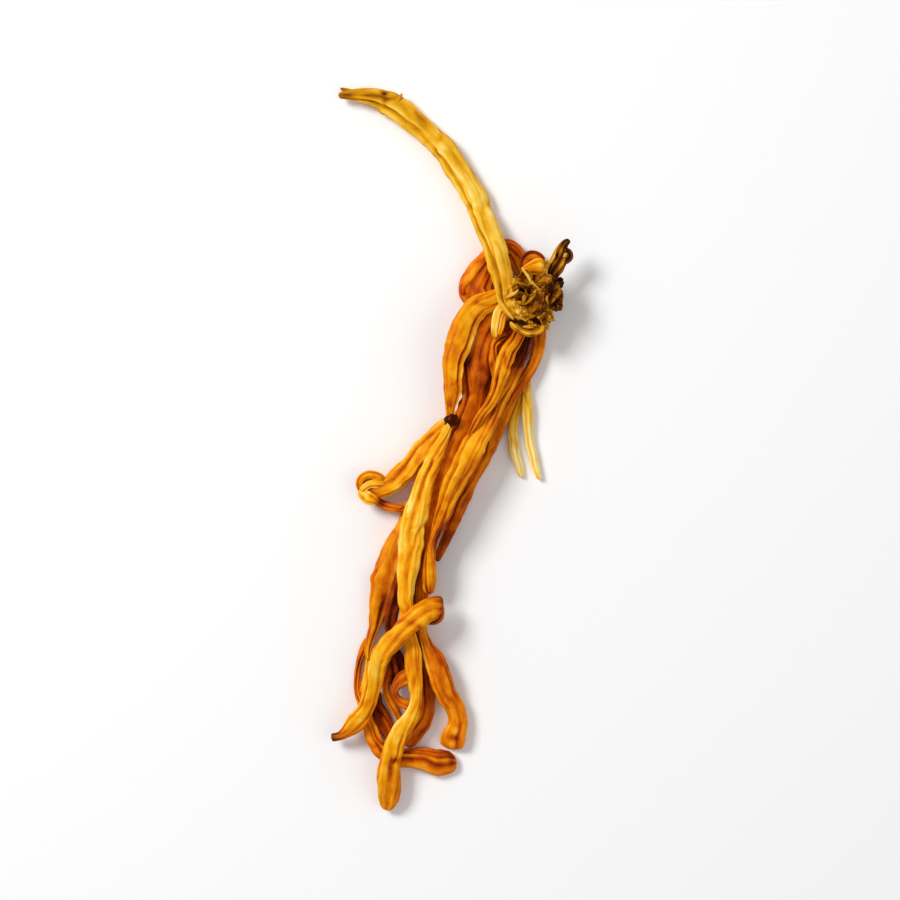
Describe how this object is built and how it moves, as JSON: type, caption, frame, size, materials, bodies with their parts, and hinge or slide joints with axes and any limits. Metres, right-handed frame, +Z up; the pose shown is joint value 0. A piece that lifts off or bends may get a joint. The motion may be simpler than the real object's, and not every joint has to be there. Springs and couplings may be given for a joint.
{
  "type": "dried cordyceps tuft",
  "caption": "Dried cordyceps tuft: flattened, furrowed strands in amber, gold and red-brown, grown from one crumbly base knot and lying flat.",
  "frame": {"origin": "centre of the tuft's footprint, on the surface that it lies on", "axes": "+Z up off the surface; +Y along the tuft, from the bundle of tips towards the tip of the long yellow strand; +X to the side that the base knot is on"},
  "size_m": [0.0282, 0.0846, 0.0066],
  "materials": {
    "yellow_flesh": "dry waxy, furrowed, pale straw yellow with golden furrows",
    "gold_flesh": "dry waxy, furrowed, golden with pale ridges",
    "amber_flesh": "dry waxy, furrowed, amber orange with brown furrows",
    "orange_flesh": "dry waxy, furrowed, burnt orange",
    "red_flesh": "dry waxy, furrowed, deep red-brown",
    "pale_flesh": "dry, thin, cream",
    "knot_crust": "crumbly crust, olive gold to dark brown",
    "root_remains": "rough dark brown"
  },
  "bodies": {
    "root": {"base_knot": "knot_crust", "root_twig": "root_remains", "top_stub": "red_flesh", "long_yellow_strand": "yellow_flesh", "folded_strand": "orange_flesh", "outer_strand": "amber_flesh", "curled_strand": "amber_flesh", "return_arc": "red_flesh", "gold_strand": "gold_flesh", "middle_strand": "orange_flesh", "valley_strand": "red_flesh", "right_amber_strand": "amber_flesh", "right_edge_strand": "orange_flesh", "golden_neck_strand": "amber_flesh", "pale_neck_strand": "pale_flesh", "outer_left_strand": "amber_flesh", "crossing_strand": "gold_flesh", "low_red_strand": "red_flesh", "deep_red_strand": "red_flesh", "inner_thin_strand": "orange_flesh", "inner_loop_strand": "orange_flesh", "pale_runner_long": "pale_flesh", "pale_runner_short": "pale_flesh"}
  },
  "joints": []
}
